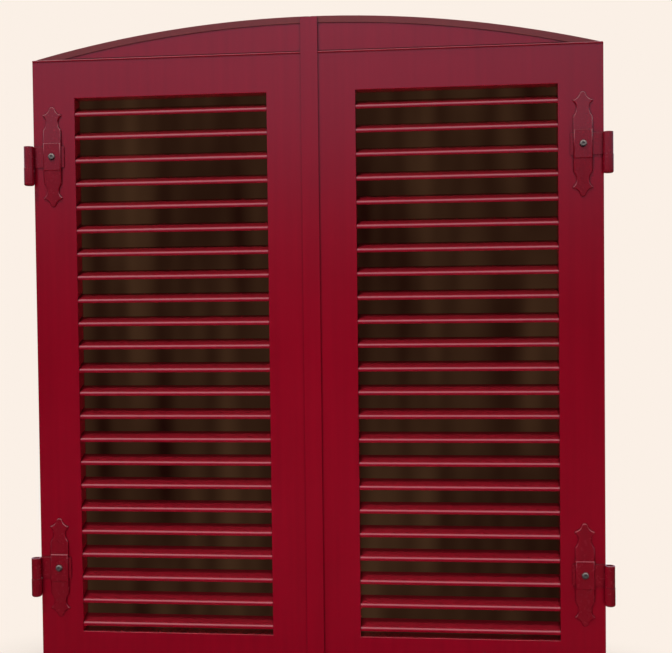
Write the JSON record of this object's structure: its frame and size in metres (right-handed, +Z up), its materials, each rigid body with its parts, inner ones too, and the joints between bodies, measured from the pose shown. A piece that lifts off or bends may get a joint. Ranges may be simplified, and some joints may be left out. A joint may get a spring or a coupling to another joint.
{
  "type": "louvred shutters",
  "caption": "Arched louvred window shutters whose leaves swing outward on wall pintles, with fixed sloping slats, a meeting cover strip and scrolled strap hinges.",
  "frame": {"origin": "on the meeting line of the leaves, at their bottom edge, on their outer face", "axes": "+X to the right along the wall seen from outside, +Y into the house, +Z up"},
  "size_m": [1.215, 0.1305, 1.361],
  "materials": {
    "red_aluminium": "satin wine-red powder coat",
    "red_steel": "satin wine-red powder coat on steel",
    "stainless_screws": "bare stainless steel",
    "zinc_steel": "zinc plated",
    "raw_aluminium": "mill finish, hidden",
    "black_plastic": "moulded, matt"
  },
  "bodies": {
    "wall_pintles": {"left_lower_pintle": "red_steel", "left_upper_pintle": "red_steel", "right_lower_pintle": "red_steel", "right_upper_pintle": "red_steel"},
    "left_leaf": {"left_arch_edging": "red_aluminium", "left_arch_infill": "red_aluminium", "left_backing_plates": "zinc_steel", "left_bottom_rail": "red_aluminium", "left_corner_spigots": "raw_aluminium", "left_hinge_screws": "stainless_screws", "left_hinge_stile": "red_aluminium", "left_lower_hinge_plate": "red_steel", "left_lower_hinge_strap": "red_steel", "left_meeting_stile": "red_aluminium", "left_slats": "red_aluminium", "left_stile_plugs": "black_plastic", "left_top_rail": "red_aluminium", "left_upper_hinge_plate": "red_steel", "left_upper_hinge_strap": "red_steel", "cover_strip": "red_aluminium", "cover_screws": "red_aluminium", "rod_guides": "red_steel", "guide_screws": "red_steel"},
    "right_leaf": {"right_arch_edging": "red_aluminium", "right_arch_infill": "red_aluminium", "right_backing_plates": "zinc_steel", "right_bottom_rail": "red_aluminium", "right_corner_spigots": "raw_aluminium", "right_hinge_screws": "stainless_screws", "right_hinge_stile": "red_aluminium", "right_lower_hinge_plate": "red_steel", "right_lower_hinge_strap": "red_steel", "right_meeting_stile": "red_aluminium", "right_slats": "red_aluminium", "right_stile_plugs": "black_plastic", "right_top_rail": "red_aluminium", "right_upper_hinge_plate": "red_steel", "right_upper_hinge_strap": "red_steel"},
    "closing_rod": {"closing_rod": "red_steel", "lever_pin": "red_steel"},
    "lever": {"lever": "red_steel"}
  },
  "joints": [
    {"name": "left_leaf_swing", "type": "hinge", "parent": "wall_pintles", "child": "left_leaf", "pos_m": [-0.597, -0.01, 0.216], "axis": [0, 0, -1], "range_deg": [0, 180]},
    {"name": "right_leaf_swing", "type": "hinge", "parent": "wall_pintles", "child": "right_leaf", "pos_m": [0.597, -0.01, 0.216], "axis": [0, 0, 1], "range_deg": [0, 180]},
    {"name": "closing_rod_turn", "type": "hinge", "parent": "left_leaf", "child": "closing_rod", "pos_m": [-0.034, 0.054, 0.64], "axis": [0, 0, 1], "range_deg": [0, 90]},
    {"name": "lever_lift", "type": "hinge", "parent": "closing_rod", "child": "lever", "pos_m": [-0.034, 0.072, 0.64], "axis": [1, 0, 0], "range_deg": [0, 90]}
  ],
  "couplings": [
    {"joint": "right_leaf_swing", "follows": "left_leaf_swing", "ratio": 1}
  ]
}
